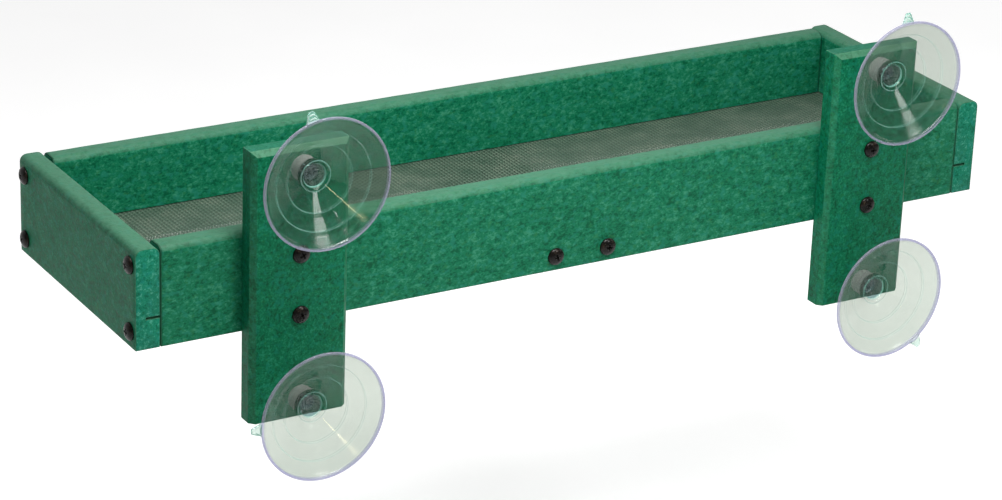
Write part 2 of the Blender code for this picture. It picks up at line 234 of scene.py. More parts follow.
# ---------------------------------------------------------------- materials
def recycled_plastic(name, tints, stretch, edge_wear=0.6, joint=None):
    """Mottled recycled plastic with teal and olive casts, tinted on faces that look up as painted top shading
    (paler sheen on the face plastics), and darkened at its joints by painted gap shade and dirt.

    joint is (middle, half length): beyond that reach along X the board's end is darkened by painted gap shade
    and dirt.
    """
    mat, tree, shader = start_material(name)
    coords = object_coords(tree, stretch)
    moved = object_coords(tree, stretch, (3.1, 1.7, 0.4))
    grains = noise_of(tree, coords, 900, 2.0, 0.6)
    fibres = noise_of(tree, coords, 420, 3.0, 0.6, 0.5)
    broad = noise_of(tree, moved, 170, 3.0, 0.55, 0.6)
    cloud = noise_of(tree, moved, 16, 2.0)
    mottle = maths(tree, "ADD", maths(tree, "MULTIPLY", fibres, 0.42), maths(tree, "MULTIPLY", broad, 0.24))
    mottle = maths(tree, "ADD", mottle, maths(tree, "MULTIPLY", cloud, 0.06))
    mottle = maths(tree, "ADD", mottle, maths(tree, "MULTIPLY", grains, 0.28))
    base = ramp(tree, mottle, (
        (0.41, tints["dark"]), (0.49, tints["middle"]), (0.52, tints["middle"]), (0.60, tints["pale"])))
    teal = spread(tree, noise_of(tree, moved, 260, 2.0), 0.52, 0.68, 0.0, 0.55)
    olive = spread(tree, noise_of(tree, coords, 330, 2.0), 0.58, 0.72, 0.0, 0.5)
    tint = mix_colour(tree, teal, base, tints["teal"])
    tint = mix_colour(tree, olive, tint, tints["olive"])
    edges, facing_up = wear_and_top_shading_masks(tree)
    edges = maths(tree, "MULTIPLY", edges, spread(tree, broad, 0.3, 0.62, 0.45 * edge_wear, edge_wear))
    # painted top shading: faces that look up are mixed towards the last tint, paler on the face plastics as
    # painted sheen from the light above; on rounded edges the same tint is real wear
    painted_top_shading = maths(tree, "MULTIPLY", facing_up, spread(tree, fibres, 0.35, 0.65, 0.50, 0.85))
    tint = mix_colour(tree, maths(tree, "MAXIMUM", edges, painted_top_shading), tint, tints["wear_and_top_shading"])
    if joint is not None:
        along = add_node(tree, "ShaderNodeSeparateXYZ", {"Vector": object_coords(tree)}).outputs["X"]
        off = maths(tree, "ABSOLUTE", maths(tree, "SUBTRACT", along, joint[0]))
        off = maths(tree, "ADD", off, maths(tree, "MULTIPLY", maths(tree, "SUBTRACT", broad, 0.5), 2.5 * MM))
        # painted gap shade and dirt: the board's end darkens where it meets an end board
        joint_shade_and_dirt = spread(tree, off, joint[1] - 1.5 * MM, joint[1] - 0.7 * MM, 0.0, 0.7)
        tint = mix_colour(tree, joint_shade_and_dirt, tint, colour(0, 52, 34))
    tree.links.new(tint, shader.inputs["Base Color"])
    tree.links.new(spread(tree, fibres, 0.3, 0.7, 0.42, 0.58), shader.inputs["Roughness"])
    shader.inputs["Specular IOR Level"].default_value = 0.10
    relief = maths(tree, "ADD", fibres, maths(tree, "MULTIPLY", broad, 0.8))
    tree.links.new(bump(tree, relief, 0.0004, 0.55), shader.inputs["Normal"])
    return mat


def coated_screen(name):
    """Vinyl-coated strands, grey with a green cast, darkened down in the weave by painted shade and dirt."""
    mat, tree, shader = start_material(name)
    coords = object_coords(tree)
    patches = noise_of(tree, coords, 60, 3.0)
    fine = noise_of(tree, coords, 900, 2.0)
    tone = maths(tree, "ADD", maths(tree, "MULTIPLY", patches, 0.5), maths(tree, "MULTIPLY", fine, 0.5))
    tint = ramp(tree, tone, (
        (0.35, colour(60, 82, 68)), (0.50, colour(81, 100, 85)), (0.66, colour(106, 118, 103))))
    height = add_node(tree, "ShaderNodeSeparateXYZ", {"Vector": coords}).outputs["Z"]
    # painted shade and dirt: the strands darken towards the bottom of the weave
    depth = spread(tree, height, SCREEN_LEVEL, SCREEN_LEVEL + 0.42 * MM, 0.92, 0.0)
    tree.links.new(mix_colour(tree, depth, tint, colour(18, 44, 30)), shader.inputs["Base Color"])
    tree.links.new(spread(tree, fine, 0.3, 0.7, 0.42, 0.62), shader.inputs["Roughness"])
    tree.links.new(bump(tree, fine, 0.0001, 0.5), shader.inputs["Normal"])
    return mat


def black_oxide(name):
    """Screw heads: near-black finish over steel, bronze where it has rubbed thin."""
    mat, tree, shader = start_material(name)
    coords = object_coords(tree)
    cloud = noise_of(tree, coords, 260, 3.0, 0.6)
    fine = noise_of(tree, coords, 1600, 2.0)
    tint = ramp(tree, cloud, (
        (0.34, colour(8, 8, 8)), (0.58, colour(20, 18, 16)), (0.80, colour(58, 46, 36))))
    tree.links.new(tint, shader.inputs["Base Color"])
    shader.inputs["Metallic"].default_value = 0.2
    shader.inputs["Specular IOR Level"].default_value = 0.08
    tree.links.new(spread(tree, fine, 0.3, 0.7, 0.22, 0.38), shader.inputs["Roughness"])
    tree.links.new(bump(tree, fine, 0.00004, 0.4), shader.inputs["Normal"])
    shader.inputs["Coat Weight"].default_value = 0.22
    shader.inputs["Coat Roughness"].default_value = 0.09
    return mat


def zinc_steel(name):
    """Zinc plating with faint streaks and a cool cast."""
    mat, tree, shader = start_material(name)
    coords = object_coords(tree)
    cloud = noise_of(tree, coords, 320, 3.0)
    tint = ramp(tree, cloud, (
        (0.35, colour(64, 82, 90)), (0.52, colour(104, 120, 128)), (0.66, colour(176, 184, 188))))
    tree.links.new(tint, shader.inputs["Base Color"])
    shader.inputs["Metallic"].default_value = 1.0
    tree.links.new(spread(tree, cloud, 0.3, 0.7, 0.12, 0.26), shader.inputs["Roughness"])
    tree.links.new(bump(tree, cloud, 0.00005, 0.4), shader.inputs["Normal"])
    return mat


def band(tree, value, centre, half_width):
    """1 where value is within half_width of centre, fading out over the same again."""
    off = maths(tree, "ABSOLUTE", maths(tree, "SUBTRACT", value, centre))
    return spread(tree, off, half_width, 2 * half_width, 1.0, 0.0)


def cup_zones(tree, radius, depth):
    """Masks over a cup, from the distance to its axis and the place along it (0 at the glass)."""
    tab = spread(tree, radius, CUP_RADIUS, CUP_RADIUS + 0.5 * MM)
    rim = maths(tree, "SUBTRACT", spread(tree, radius, 39.5 * MM, 40.1 * MM), tab)
    outside = maths(tree, "SUBTRACT", 1.0, add_node(tree, "ShaderNodeNewGeometry").outputs["Backfacing"])
    neck = maths(tree, "MULTIPLY", spread(tree, depth, -22.0 * MM, -20.0 * MM, 1.0, 0.0),
                 spread(tree, radius, 5.4 * MM, 6.4 * MM))
    neck = maths(tree, "MULTIPLY", neck, outside)
    before_neck = spread(tree, depth, -19.5 * MM, -18.6 * MM)
    dish = spread(tree, radius, 6.9 * MM, 7.3 * MM, 1.0, 0.0)
    dish = maths(tree, "MULTIPLY", dish, before_neck)
    rings = maths(tree, "MAXIMUM", *(band(tree, radius, ring, 0.22 * MM) for ring in HUB_RINGS))
    rings = maths(tree, "MULTIPLY", rings, before_neck)
    # the beads and hub rings, where a painted highlight goes
    beads = maths(tree, "MAXIMUM", *(band(tree, radius, bead, 0.15 * MM) for bead in BEADS))
    beads = maths(tree, "MAXIMUM", beads, maths(tree, "MULTIPLY", rings, 1.6))
    return {"tab": tab, "rim": rim, "neck": neck, "dish": dish, "beads": beads}


def cup_surface(tree, coords, dish):
    """The cup's skin: gently rippled, and dimpled in the dish in front of the stud."""
    ripple = noise_of(tree, coords, 55, 1.0)
    dimples = maths(tree, "MULTIPLY", dish, noise_of(tree, coords, 620, 1.0))
    relief = maths(tree, "ADD", ripple, maths(tree, "MULTIPLY", dimples, 9.0))
    return bump(tree, relief, 0.0002, spread(tree, dish, 0.0, 1.0, 0.12, 0.75))


def thin_film(tree, radius, zones, surface):
    """A thin wall lets light straight through, a little greyed; its gloss grows towards grazing angles."""
    through = mix_colour(tree, zones["rim"], colour(230, 234, 229), colour(206, 206, 224))
    # painted reflection: the dish is seen through a darker teal, for the dark reflections on the stud head
    # behind it
    through = mix_colour(tree, zones["dish"], through, colour(142, 178, 180))
    clear = add_node(tree, "ShaderNodeBsdfTransparent", {"Color": through})
    gloss = add_node(tree, "ShaderNodeBsdfGlossy", {
        "Roughness": spread(tree, radius, 12 * MM, 40 * MM, 0.05, 0.14), "Normal": surface})
    facing = add_node(tree, "ShaderNodeLayerWeight", {"Blend": 0.5, "Normal": surface}).outputs["Facing"]
    grazing = maths(tree, "MULTIPLY", maths(tree, "POWER", facing, 5.0), 0.6)
    sheen = maths(tree, "ADD", spread(tree, zones["dish"], 0.0, 1.0, 0.026, 0.08), grazing)
    return blend_shaders(tree, sheen, clear.outputs["BSDF"], gloss.outputs["BSDF"])


def milk_and_glints(tree, haze, zones):
    """The cup's pale haze and how much of it there is; along the beads and hub rings it is a painted
    highlight.
    """
    tint = mix_colour(tree, zones["rim"], colour(146, 206, 192), colour(190, 190, 212))
    tint = mix_colour(tree, zones["neck"], tint, colour(178, 172, 176))
    amount = spread(tree, haze, 0.3, 0.7, 0.010, 0.026)
    edge = maths(tree, "MAXIMUM", zones["rim"], zones["tab"])
    for zone, share in ((zones["neck"], 0.38), (edge, 0.22)):
        amount = maths(tree, "ADD", amount, maths(tree, "MULTIPLY", zone, share))
    # painted highlight: paler along the beads and hub rings, where their crests catch the light
    amount = maths(tree, "ADD", amount, maths(tree, "MULTIPLY", zones["beads"], 0.20), clamp=True)
    return amount, add_node(tree, "ShaderNodeBsdfDiffuse", {"Color": tint}).outputs["BSDF"]


def clear_pvc(name):
    """Clear soft PVC: a thin film, milkier at the rim, with a painted highlight along the beads and hub
    rings, and a frosted neck.

    Only the thick pull tab refracts.  Light on its way to another piece passes almost unchanged.
    """
    mat, tree, shader = start_material(name)
    coords = object_coords(tree)
    haze = noise_of(tree, coords, 240, 2.0)
    place = add_node(tree, "ShaderNodeSeparateXYZ", {"Vector": coords}).outputs
    squares = [maths(tree, "POWER", place[axis], 2.0) for axis in ("X", "Y")]
    radius = maths(tree, "SQRT", maths(tree, "ADD", *squares))
    zones = cup_zones(tree, radius, place["Z"])
    surface = cup_surface(tree, coords, zones["dish"])
    shader.inputs["Base Color"].default_value = colour(250, 249, 244)
    shader.inputs["Transmission Weight"].default_value = 1.0
    shader.inputs["IOR"].default_value = 1.42
    tree.links.new(spread(tree, haze, 0.3, 0.7, 0.02, 0.08), shader.inputs["Roughness"])
    tree.links.new(surface, shader.inputs["Normal"])
    film = thin_film(tree, radius, zones, surface)
    body = blend_shaders(tree, zones["tab"], film, shader.outputs["BSDF"])
    milk_and_glint_amount, milk_and_glint_bsdf = milk_and_glints(tree, haze, zones)
    body = blend_shaders(tree, milk_and_glint_amount, body, milk_and_glint_bsdf)
    see_through = add_node(tree, "ShaderNodeBsdfTransparent", {"Color": colour(250, 250, 249)})
    to_lamp = add_node(tree, "ShaderNodeLightPath").outputs["Is Shadow Ray"]
    inside = add_node(tree, "ShaderNodeVolumeAbsorption", {
        "Color": (0.33, 0.31, 0.30, 1.0), "Density": 60.0})
    output = tree.nodes["Material Output"]
    tree.links.new(blend_shaders(tree, to_lamp, body, see_through.outputs["BSDF"]), output.inputs["Surface"])
    tree.links.new(inside.outputs["Volume"], output.inputs["Volume"])
    return mat


def pale_floor(name):
    mat, tree, shader = start_material(name)
    grain = noise_of(tree, object_coords(tree), 6, 3.0)
    tint = ramp(tree, grain, ((0.3, colour(246, 246, 246)), (0.7, colour(250, 250, 250))))
    tree.links.new(tint, shader.inputs["Base Color"])
    shader.inputs["Roughness"].default_value = 0.9
    shader.inputs["Specular IOR Level"].default_value = 0.1
    shader.inputs["Emission Color"].default_value = (1.0, 1.0, 1.0, 1.0)
    place = add_node(tree, "ShaderNodeSeparateXYZ", {"Vector": object_coords(tree)})
    glow = spread(tree, place.outputs["Y"], -0.6, 0.05, FRONT_GLOW, FLOOR_GLOW)
    tree.links.new(glow, shader.inputs["Emission Strength"])
    return mat


# the last tint of each set is real wear on rounded edges and painted top shading on faces that look up
FACE_TINTS = {"dark": colour(0, 72, 46), "middle": colour(12, 97, 67), "pale": colour(46, 120, 92),
              "teal": colour(28, 110, 92), "olive": colour(34, 100, 58), "wear_and_top_shading": colour(64, 102, 82)}
UPRIGHT_TINTS = {"dark": colour(0, 64, 40), "middle": colour(2, 90, 60), "pale": colour(24, 112, 82),
                 "teal": colour(8, 100, 80), "olive": colour(16, 90, 46), "wear_and_top_shading": colour(72, 110, 88)}
SAWN_TINTS = {"dark": colour(4, 82, 60), "middle": colour(16, 106, 82), "pale": colour(62, 134, 114),
              "teal": colour(24, 114, 102), "olive": colour(20, 98, 64), "wear_and_top_shading": colour(8, 70, 48)}
GREEN_ALONG_X = recycled_plastic("green_plastic_long_boards", FACE_TINTS, (0.7, 1, 1),
                                 joint=(sum(LONG_BOARD) / 2, (LONG_BOARD[1] - LONG_BOARD[0]) / 2))
GREEN_ALONG_Y = recycled_plastic("green_plastic_end_boards", FACE_TINTS, (1, 0.7, 1))
UPRIGHT_GREEN = recycled_plastic("green_plastic_uprights", UPRIGHT_TINTS, (1, 1, 1), edge_wear=0.15)
SAWN_GREEN = recycled_plastic("green_plastic_sawn_end", SAWN_TINTS, (1, 1, 1), edge_wear=0.9)
SCREEN = coated_screen("coated_screen")
BLACK = black_oxide("black_oxide_screw")
STEEL = zinc_steel("zinc_plated_steel")
PVC = clear_pvc("clear_soft_pvc")


# ---------------------------------------------------------------- piece helpers
def mesh_from(bm, name, smooth_below=35):
    bmesh.ops.recalc_face_normals(bm, faces=bm.faces)
    mesh = bpy.data.meshes.new(name)
    bm.to_mesh(mesh)
    bm.free()
    mesh.shade_smooth()
    mesh.set_sharp_from_angle(angle=math.radians(smooth_below))
    return mesh


def add_piece(name, mesh, materials, node, place=None):
    """A piece that stands for CAD node and rides on its body."""
    for mat in materials:
        if mat.name not in mesh.materials:
            mesh.materials.append(mat)
    piece = bpy.data.objects.new(name, mesh)
    bpy.context.scene.collection.objects.link(piece)
    if place is not None:
        piece.matrix_world = place
    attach(piece, frame["nodes"][node]["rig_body"])
    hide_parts(node)
    return piece


def cut_mesh(mesh, cutters):
    """mesh with the cutter meshes taken away; all of them are in one frame."""
    body = bpy.data.objects.new("body", mesh)
    bpy.context.scene.collection.objects.link(body)
    tools = []
    for cutter in cutters:
        tool = bpy.data.objects.new("tool", cutter)
        bpy.context.scene.collection.objects.link(tool)
        cut = body.modifiers.new("cut", "BOOLEAN")
        cut.operation = "DIFFERENCE"
        cut.solver = "EXACT"
        cut.object = tool
        tools.append(tool)
    graph = bpy.context.evaluated_depsgraph_get()
    graph.update()
    result = bpy.data.meshes.new_from_object(body.evaluated_get(graph))
    result.name = mesh.name
    for made in (body, *tools):
        bpy.data.objects.remove(made)
    return result


def arc(centre_u, centre_v, radius, start, stop, steps):
    angles = [math.radians(start + (stop - start) * i / steps) for i in range(steps + 1)]
    return [(centre_u + radius * math.cos(a), centre_v + radius * math.sin(a)) for a in angles]


def turned(points, steps):
    """A closed bmesh from a profile of (radius, height) turned about Z; both ends lie on the axis."""
    angles = [math.tau * i / steps for i in range(steps)]
    bm = bmesh.new()
    rings = []
    for radius, height in points:
        if radius < 1e-7:
            rings.append([bm.verts.new((0, 0, height))])
        else:
            rings.append([bm.verts.new((radius * math.cos(a), radius * math.sin(a), height)) for a in angles])
    close_rings(bm, rings)
    return bm


def close_rings(bm, rings):
    """Faces between each ring of vertices and the next; a ring of one vertex is a pole."""
    for lower, upper in zip(rings, rings[1:]):
        count = max(len(lower), len(upper))
        for i in range(count):
            j = (i + 1) % count
            if len(lower) == 1:
                bm.faces.new((lower[0], upper[j], upper[i]))
            elif len(upper) == 1:
                bm.faces.new((lower[i], lower[j], upper[0]))
            else:
                bm.faces.new((lower[i], lower[j], upper[j], upper[i]))


# ---------------------------------------------------------------- boards
def board_outline(thickness, height, round_radius, kerf_height_centre=None):
    """Cross-section (across, up) of a board, counterclockwise; its kerf is on the side across = thickness."""
    small = SAWN_EDGE
    points = arc(small, small, small, 180, 270, 2)
    points += arc(thickness - small, small, small, 270, 360, 2)
    points.append((thickness, small + FLAT_MARGIN))
    if kerf_height_centre is not None:
        low = kerf_height_centre - KERF_HEIGHT / 2
        high = kerf_height_centre + KERF_HEIGHT / 2
        points += [(thickness, low), (thickness - KERF_DEPTH, low),
                   (thickness - KERF_DEPTH, high), (thickness, high)]
    shoulder = height - round_radius
    points.append((thickness, shoulder - FLAT_MARGIN))
    points += arc(thickness - round_radius, shoulder, round_radius, 0, 90, 6)
    points += arc(round_radius, shoulder, round_radius, 90, 180, 6)
    points += [(0.0, shoulder - FLAT_MARGIN), (0.0, small + FLAT_MARGIN)]
    return points


def inward_normals(points):
    normals = []
    for i, point in enumerate(points):
        before = Vector(points[i - 1])
        after = Vector(points[(i + 1) % len(points)])
        here = Vector(point)
        first = (here - before).normalized()
        second = (after - here).normalized()
        across = first + second
        if across.length < 1e-6:
            across = first
        across.normalize()
        normals.append(Vector((-across.y, across.x)))
    return normals


def swept_board(name, outline, length, to_world, wander, end_break=SAWN_EDGE):
    """The outline swept along a board, its two sawn ends broken and its rounded edges wandering a little."""
    bm = bmesh.new()
    normals = inward_normals(outline)
    ends = ((0.0, end_break), (0.3 * end_break, 0.3 * end_break), (end_break, 0.0))
    middle = max(8, round(length / (5 * MM)))
    along = list(ends)
    along += [(end_break + (length - 2 * end_break) * i / middle, 0.0) for i in range(1, middle)]
    along += [(length - s, inset) for s, inset in reversed(ends)]
    top = max(v for _, v in outline)
    rings = []
    for s, inset in along:
        ring = []
        for (u, v), normal in zip(outline, normals):
            stray = 0.0
            if v > top - ROUND - 0.01 * MM:
                stray = wander * noise.noise(Vector((s * 55, u * 300, v * 300)))
            shifted = Vector((u, v)) + normal * (inset + stray)
            ring.append(bm.verts.new(to_world(s, shifted.x, shifted.y)))
        rings.append(ring)
    close_rings(bm, rings)
    for ring in (rings[0], rings[-1]):
        cap = bm.faces.new(ring)
        cap.material_index = 1
    return mesh_from(bm, name)


def make_trough_boards():
    """Each board's kerf and rounding follow its CAD node; `across` runs from its outer to its inner face."""
    for name in BOARDS:
        low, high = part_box(name)
        size = high - low
        lengthwise_x = size.x > size.y
        mirrored = name in ("right_end_board", "outer_side_board")
        thickness = size.y if lengthwise_x else size.x
        length = size.x if lengthwise_x else size.y

        def to_world(s, u, v, low=low, high=high, lengthwise_x=lengthwise_x, mirrored=mirrored):
            if lengthwise_x:
                across = high.y - u if mirrored else low.y + u
                return Vector((low.x + s, across, low.z + v))
            across = high.x - u if mirrored else low.x + u
            return Vector((across, low.y + s, low.z + v))

        outline = board_outline(thickness, size.z, ROUND, SCREEN_LEVEL - low.z)
        end_break = END_BREAK if lengthwise_x else SAWN_EDGE
        green = GREEN_ALONG_X if lengthwise_x else GREEN_ALONG_Y
        mesh = swept_board(name + "_mesh", outline, length, to_world, EDGE_WANDER, end_break)
        add_piece(name + "_plastic", mesh, (green, SAWN_GREEN), name)


def make_brace():
    low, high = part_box("centre_brace")
    size = high - low

    def to_world(s, u, v):
        return Vector((low.x + u, low.y + s, low.z + v))

    outline = board_outline(size.x, size.z, 0.8 * MM)
    mesh = swept_board("centre_brace_mesh", outline, size.y, to_world, 0.0)
    add_piece("centre_brace_plastic", mesh, (GREEN_ALONG_Y, SAWN_GREEN), "centre_brace")


def bevel_where(bm, wanted, width, segments):
    edges = [edge for edge in bm.edges if wanted(edge)]
    bmesh.ops.bevel(bm, geom=edges, offset=width, segments=segments, affect="EDGES", profile=0.5)


def stud_drill(where, low, high):
    """A cutter for one stud's hole, right through an upright that reaches from low to high."""
    stud_low, stud_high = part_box("cup_stud_" + where)
    centre = (stud_low + stud_high) / 2
    drill = bmesh.new()
    bmesh.ops.create_cone(drill, cap_ends=True, segments=48, radius1=STUD_HOLE, radius2=STUD_HOLE,
                          depth=2 * (high.y - low.y))
    bmesh.ops.rotate(drill, matrix=Matrix.Rotation(math.radians(90), 3, "X"), verts=drill.verts)
    bmesh.ops.translate(drill, vec=(centre.x, (low.y + high.y) / 2, centre.z), verts=drill.verts)
    return mesh_from(drill, "stud_drill")


def make_upright(side):
    """Chamfered along both sides and the top of its window face, drilled for the two studs."""
    name = side + "_upright"
    low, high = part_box(name)
    bm = bmesh.new()
    bmesh.ops.create_cube(bm, size=1.0)
    bmesh.ops.scale(bm, vec=high - low, verts=bm.verts)
    bmesh.ops.translate(bm, vec=(low + high) / 2, verts=bm.verts)

    def on_window_face(edge):
        ends = [vert.co for vert in edge.verts]
        at_front = all(abs(end.y - low.y) < 1e-6 for end in ends)
        at_bottom = all(abs(end.z - low.z) < 1e-6 for end in ends)
        return at_front and not at_bottom

    bevel_where(bm, on_window_face, CHAMFER, 1)
    bevel_where(bm, lambda edge: edge.calc_face_angle(0.0) > math.radians(30), SAWN_EDGE, 2)
    for face in bm.faces:
        if abs(face.normal.z) > 0.99:
            face.material_index = 1
    mesh = mesh_from(bm, name + "_mesh")
    mesh.materials.append(UPRIGHT_GREEN)
    mesh.materials.append(SAWN_GREEN)
    drills = [stud_drill(level + "_" + side, low, high) for level in ("upper", "lower")]
    drilled = cut_mesh(mesh, drills)
    drilled.set_sharp_from_angle(angle=math.radians(12))   # keeps the broad faces shading flat
    add_piece(name + "_plastic", drilled, (UPRIGHT_GREEN, SAWN_GREEN), name)


# ---------------------------------------------------------------- screen
def add_strand(bm, points, sideways, width, thickness, sides=5):
    """A flattened strand along points; sideways is the level direction across it."""
    rings = []
    upwards = Vector((0, 0, 1))
    for point in points:
        ring = []
        for i in range(sides):
            angle = math.tau * (i + 0.25) / sides
            level_part = sideways * (width / 2 * math.cos(angle))
            upright_part = upwards * (thickness / 2 * math.sin(angle))
            ring.append(bm.verts.new(point + level_part + upright_part))
        rings.append(ring)
    close_rings(bm, rings)
    bm.faces.new(rings[0])
    bm.faces.new(rings[-1])


def strand_places(low, high, spacing):
    count = int((high - low - 1.3 * MM) / spacing)
    start = (low + high - count * spacing) / 2
    return [start + i * spacing for i in range(count + 1)]


def make_screen():
    """A plain weave: each strand passes over and under every other strand that it crosses."""
    low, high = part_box("screen_floor")
    level = SCREEN_LEVEL
    xs = strand_places(low.x, high.x, STRAND_SPACING_X)
    ys = strand_places(low.y, high.y, STRAND_SPACING_Y)
    across = bmesh.new()
    for i, x in enumerate(xs):
        wobble = CHANCE.uniform(-0.06, 0.06) * MM
        points = [Vector((x + wobble, y, level + ACROSS_RISE * (-1) ** (i + j))) for j, y in enumerate(ys)]
        add_strand(across, points, Vector((1, 0, 0)), ACROSS_WIDTH, STRAND_THICKNESS)
    along = bmesh.new()
    for j, y in enumerate(ys):
        wobble = CHANCE.uniform(-0.05, 0.05) * MM
        points = [Vector((x, y + wobble, level - ALONG_RISE * (-1) ** (i + j))) for i, x in enumerate(xs)]
        add_strand(along, points, Vector((0, 1, 0)), ALONG_WIDTH, STRAND_THICKNESS)
    for name, bm in (("screen_strands_across", across), ("screen_strands_along", along)):
        mesh = mesh_from(bm, name + "_mesh", smooth_below=80)
        add_piece(name, mesh, (SCREEN,), "screen_floor")


# ---------------------------------------------------------------- screws
def cross_recess(half_width, half_length, depth, top):
    """A Phillips recess to cut away: two crossed tapered slots, as one solid."""
    bm = bmesh.new()
    w, s = half_width, half_length
    outline = [(s, -w), (s, w), (w, w), (w, s), (-w, s), (-w, w), (-s, w), (-s, -w),
               (-w, -w), (-w, -s), (w, -s), (w, -w)]
    upper = [bm.verts.new((x, y, top)) for x, y in outline]
    lower = [bm.verts.new((x * 0.42, y * 0.42, top - depth)) for x, y in outline]
    close_rings(bm, [lower, upper])
    bm.faces.new(upper)
    bm.faces.new(lower)
    return mesh_from(bm, "cross_recess")


def screw_mesh(length):
    """Truss head standing on z = 0 with a Phillips recess, and its plain shank below."""
    dome_height = SCREW_HEAD_HEIGHT + HEAD_GAP - SCREW_RIM
    dome = [(SCREW_HEAD_RADIUS * math.sin(a), SCREW_RIM + dome_height * math.cos(a))
            for a in (math.radians(90 * i / 16) for i in range(17))]
    profile = dome + [(SCREW_HEAD_RADIUS, 0.15 * MM), (SCREW_HEAD_RADIUS - 0.15 * MM, 0.0),
                      (SCREW_SHANK, 0.0), (SCREW_SHANK, -length), (0.0, -length - 1.5 * MM)]
    mesh = mesh_from(turned(profile, 56), "screw_body")
    top = SCREW_HEAD_HEIGHT + HEAD_GAP + 0.4 * MM
    return cut_mesh(mesh, [cross_recess(0.78 * MM, 2.8 * MM, 2.6 * MM, top)])


def make_screws():
    """One screw per CAD screw, its head on the same face and its recess turned by chance."""
    middle = (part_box("screen_floor")[0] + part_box("screen_floor")[1]) / 2
    mesh = screw_mesh(14 * MM)
    names = sorted(name for name in frame["nodes"] if "_screw_" in name)
    for name in names:
        low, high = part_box(name)
        size = high - low
        axis = max(range(3), key=lambda i: size[i])
        sign = -1 if (low[axis] + high[axis]) / 2 < middle[axis] else 1
        out = Vector((0, 0, 0))
        out[axis] = sign
        place = (low + high) / 2
        tip = low[axis] if sign < 0 else high[axis]
        place[axis] = tip - sign * (SCREW_HEAD_HEIGHT + HEAD_GAP)
        spin = Matrix.Rotation(CHANCE.uniform(0, math.pi / 2), 4, "Z")
        stand = out.to_track_quat("Z", "Y").to_matrix().to_4x4()
        add_piece(name + "_phillips", mesh, (BLACK,), name,
                  Matrix.Translation(place) @ stand @ spin)


# ---------------------------------------------------------------- suction cups
def ring_bead(radius, height, slope, width, rise):
    """Five profile points of a fine moulded bead across a sloping face."""
    made = []
    for share in (-1.0, -0.5, 0.0, 0.5, 1.0):
        lift = rise * math.cos(share * math.pi / 2) ** 2
        made.append((radius + share * width / 2, height + share * width / 2 * slope + lift))
    return made


def straight(start, end, steps):
    """Profile points after start up to end, on a straight line."""
    return [(start[0] + (end[0] - start[0]) * i / steps,
             start[1] + (end[1] - start[1]) * i / steps) for i in range(1, steps + 1)]


def cup_profile():
    """(radius, height) in millimetres: concave face out to the rim, then the back, neck and stud pocket.

    The face is one straight cone between the hub and the rim, with two fine moulded beads.
    """
    hub = [(0.0, -18.4), (6.6, -18.4), (7.1, -18.2), (7.4, -17.7), (7.7, -16.9), (8.2, -16.2),
           (8.8, -15.85), (9.4, -15.8), (9.8, -16.0)]
    slope = 0.507
    first, second = ((bead / MM, hub[-1][1] + (bead / MM - 9.8) * slope) for bead in BEADS)
    face = hub + straight(hub[-1], (first[0] - 0.3, first[1] - 0.3 * slope), 4)
    face += ring_bead(*first, slope, 0.45, 0.10)
    face += straight(face[-1], (second[0] - 0.3, second[1] - 0.3 * slope), 4)
    face += ring_bead(*second, slope, 0.45, 0.10)
    face += straight(face[-1], (38.5, -1.5), 4)
    face += [(38.9, -0.95), (39.2, -0.45), (39.6, -0.1), (40.0, 0.0), (40.3, 0.0)]
    tab_front = [(40.5 + 0.7 * i / 16, -0.3 * (i / 16) ** 2) for i in range(17)]
    tab_edge = [(41.3, -0.5), (41.3, -0.9), (41.3, -1.3)]
    tab_back = [(41.2 - 0.7 * i / 16, -1.5 - 0.5 * (i / 16)) for i in range(17)]
    back = straight((40.2, -2.2), (12.6, -16.9), 16)
    back = [(40.2, -2.2)] + back + [(11.2, -18.0), (10.0, -19.5), (9.1, -21.6), (8.4, -24.0)]
    back += [(8.1, -26.0), (8.0, -28.0), (8.0, -31.6), (7.85, -32.2), (7.4, -32.6), (6.9, -32.7)]
    hollow = [(3.0, -32.7), (2.7, -32.5), (2.7, -25.9), (3.0, -25.7), (4.8, -25.7), (5.0, -25.5),
              (5.0, -22.1), (4.7, -21.8), (0.0, -21.8)]
    return [(r * MM, z * MM) for r, z in face + tab_front + tab_edge + tab_back + back + hollow]


def tab_reach(angle):
    """How far the rim is drawn out at an angle from the middle of the tab."""
    off = abs(CUP_RADIUS * math.sin(angle)) / (TAB_HALF_WIDTH * 1.15)
    if off >= 1 or math.cos(angle) < 0:
        return 0.0
    t = 1 - off
    return TAB_REACH * min(1.0, 1.25 * (3 * t * t - 2 * t ** 3)) ** 0.9


def cup_mesh():
    """The turned cup with its rim drawn out along +X into a ribbed, pointed pull tab."""
    wide = [math.radians(3 * i) for i in range(3, 118)]
    close = [math.radians(i * 0.35) for i in range(-24, 25)]
    angles = sorted(a if a >= 0 else a + math.tau for a in wide + close)
    bm = bmesh.new()
    rings = []
    for radius, height in cup_profile():
        if radius < 1e-7:
            rings.append([bm.verts.new((0, 0, height))])
            continue
        ring = []
        for angle in angles:
            reach = tab_reach(angle)
            share = (radius - TAB_START) / (CUP_RADIUS - TAB_START)
            r, z = radius, height
            if share > 0 and reach > 0:
                r = radius + reach * share
                ribs = math.sin(math.pi * TAB_RIBS * share) ** 2
                lift = 0.28 * MM * ribs * min(1.0, reach / TAB_REACH)
                z = height + (lift if height > -1.2 * MM else -lift)
            ring.append(bm.verts.new((r * math.cos(angle), r * math.sin(angle), z)))
        rings.append(ring)
    close_rings(bm, rings)
    return mesh_from(bm, "suction_cup_mesh", smooth_below=42)


